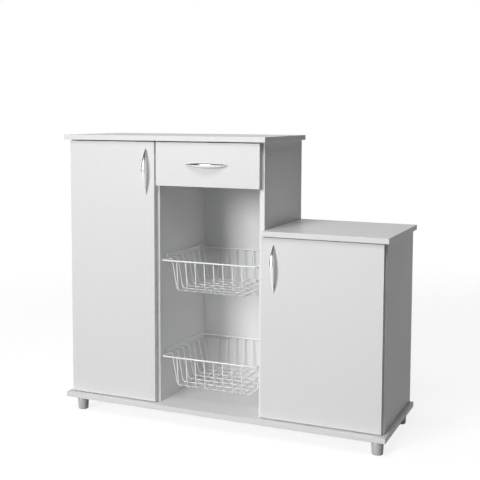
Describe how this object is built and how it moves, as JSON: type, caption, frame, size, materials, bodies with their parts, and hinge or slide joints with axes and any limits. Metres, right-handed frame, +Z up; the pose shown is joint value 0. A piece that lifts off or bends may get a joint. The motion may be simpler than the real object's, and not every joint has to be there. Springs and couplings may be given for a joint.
{
  "type": "kitchen_base_cabinet",
  "caption": "white kitchen base cabinet in two heights, with doors, a drawer over an open niche with pull-out wire baskets, and round feet",
  "frame": {"origin": "on the floor, under the middle of the whole outline", "axes": "+X to the right when facing the doors, +Y from the doors to the back, +Z up"},
  "size_m": [1.007, 0.3462, 0.856],
  "materials": {
    "white_board": "satin",
    "backing_board": "matte",
    "dowel_wood": "matte",
    "grey_plastic": "satin",
    "roller_plastic": "satin",
    "channel_plastic": "satin",
    "coated_wire": "gloss",
    "coated_steel": "satin",
    "chrome": "polished",
    "zinc_steel": "satin"
  },
  "bodies": {
    "carcass": {"base_board": "white_board", "left_side_panel": "white_board", "left_divider": "white_board", "right_divider": "white_board", "right_side_panel": "white_board", "left_top_board": "white_board", "right_top_board": "white_board", "niche_ceiling_board": "white_board", "left_shelf_1": "white_board", "left_shelf_2": "white_board", "right_shelf_1": "white_board", "left_back_panel": "backing_board", "right_back_panel": "backing_board", "wooden_dowels": "dowel_wood", "foot_front_left": "grey_plastic", "foot_front_right": "grey_plastic", "foot_rear_left": "grey_plastic", "foot_rear_right": "grey_plastic", "basket_channels": "channel_plastic", "cabinet_drawer_runners": "coated_steel", "corner_brackets": "coated_steel", "foot_screws": "zinc_steel", "shelf_pins": "zinc_steel", "panel_screws": "zinc_steel", "back_panel_nails": "zinc_steel", "hinge_arms": "zinc_steel", "hinge_plates": "zinc_steel", "hinge_plate_screws": "zinc_steel", "front_roller_axles": "zinc_steel", "small_body_screws": "zinc_steel"},
    "left_door": {"left_door_board": "white_board", "left_door_handle": "chrome", "left_door_handle_screws": "zinc_steel", "left_door_hinge_cups": "zinc_steel", "left_door_hinge_pins": "zinc_steel", "left_door_hinge_screws": "zinc_steel"},
    "right_door": {"right_door_board": "white_board", "right_door_handle": "chrome", "right_door_handle_screws": "zinc_steel", "right_door_hinge_cups": "zinc_steel", "right_door_hinge_pins": "zinc_steel", "right_door_hinge_screws": "zinc_steel"},
    "drawer": {"drawer_front_board": "white_board", "drawer_left_side": "white_board", "drawer_right_side": "white_board", "drawer_back_board": "white_board", "drawer_bottom_panel": "backing_board", "drawer_dowels": "dowel_wood", "drawer_screws": "zinc_steel", "drawer_handle": "chrome", "drawer_handle_screws": "zinc_steel", "moving_drawer_runners": "coated_steel", "rear_roller_axles": "zinc_steel", "moving_runner_screws": "zinc_steel"},
    "lower_basket": {"lower_basket": "coated_wire"},
    "upper_basket": {"upper_basket": "coated_wire"},
    "front_roller_left": {"front_roller_left": "roller_plastic"},
    "front_roller_right": {"front_roller_right": "roller_plastic"},
    "rear_roller_left": {"rear_roller_left": "roller_plastic"},
    "rear_roller_right": {"rear_roller_right": "roller_plastic"}
  },
  "joints": [
    {"name": "left_door_hinge", "type": "hinge", "parent": "carcass", "child": "left_door", "pos_m": [-0.4825, -0.1444, 0.451], "axis": [0, 0, -1], "range_deg": [0, 95]},
    {"name": "right_door_hinge", "type": "hinge", "parent": "carcass", "child": "right_door", "pos_m": [0.4835, -0.1444, 0.321], "axis": [0, 0, 1], "range_deg": [0, 95]},
    {"name": "drawer_slide", "type": "slide", "parent": "carcass", "child": "drawer", "axis": [0, -1, 0], "range_m": [0, 0.2]},
    {"name": "lower_basket_slide", "type": "slide", "parent": "carcass", "child": "lower_basket", "axis": [0, -1, 0], "range_m": [0, 0.2]},
    {"name": "upper_basket_slide", "type": "slide", "parent": "carcass", "child": "upper_basket", "axis": [0, -1, 0], "range_m": [0, 0.2]},
    {"name": "front_roller_left_spin", "type": "hinge", "parent": "carcass", "child": "front_roller_left", "pos_m": [-0.184, -0.121, 0.742], "axis": [1, 0, 0], "range_deg": [0, 1360]},
    {"name": "front_roller_right_spin", "type": "hinge", "parent": "carcass", "child": "front_roller_right", "pos_m": [0.122, -0.121, 0.742], "axis": [1, 0, 0], "range_deg": [0, 1360]},
    {"name": "rear_roller_left_spin", "type": "hinge", "parent": "drawer", "child": "rear_roller_left", "pos_m": [-0.184, 0.122, 0.74], "axis": [1, 0, 0], "range_deg": [0, 1360]},
    {"name": "rear_roller_right_spin", "type": "hinge", "parent": "drawer", "child": "rear_roller_right", "pos_m": [0.122, 0.122, 0.74], "axis": [1, 0, 0], "range_deg": [0, 1360]}
  ],
  "couplings": [
    {"joint": "front_roller_left_spin", "follows": "drawer_slide", "rad_per_m": 117.65},
    {"joint": "front_roller_right_spin", "follows": "drawer_slide", "rad_per_m": 117.65},
    {"joint": "rear_roller_left_spin", "follows": "drawer_slide", "rad_per_m": 117.65},
    {"joint": "rear_roller_right_spin", "follows": "drawer_slide", "rad_per_m": 117.65}
  ]
}
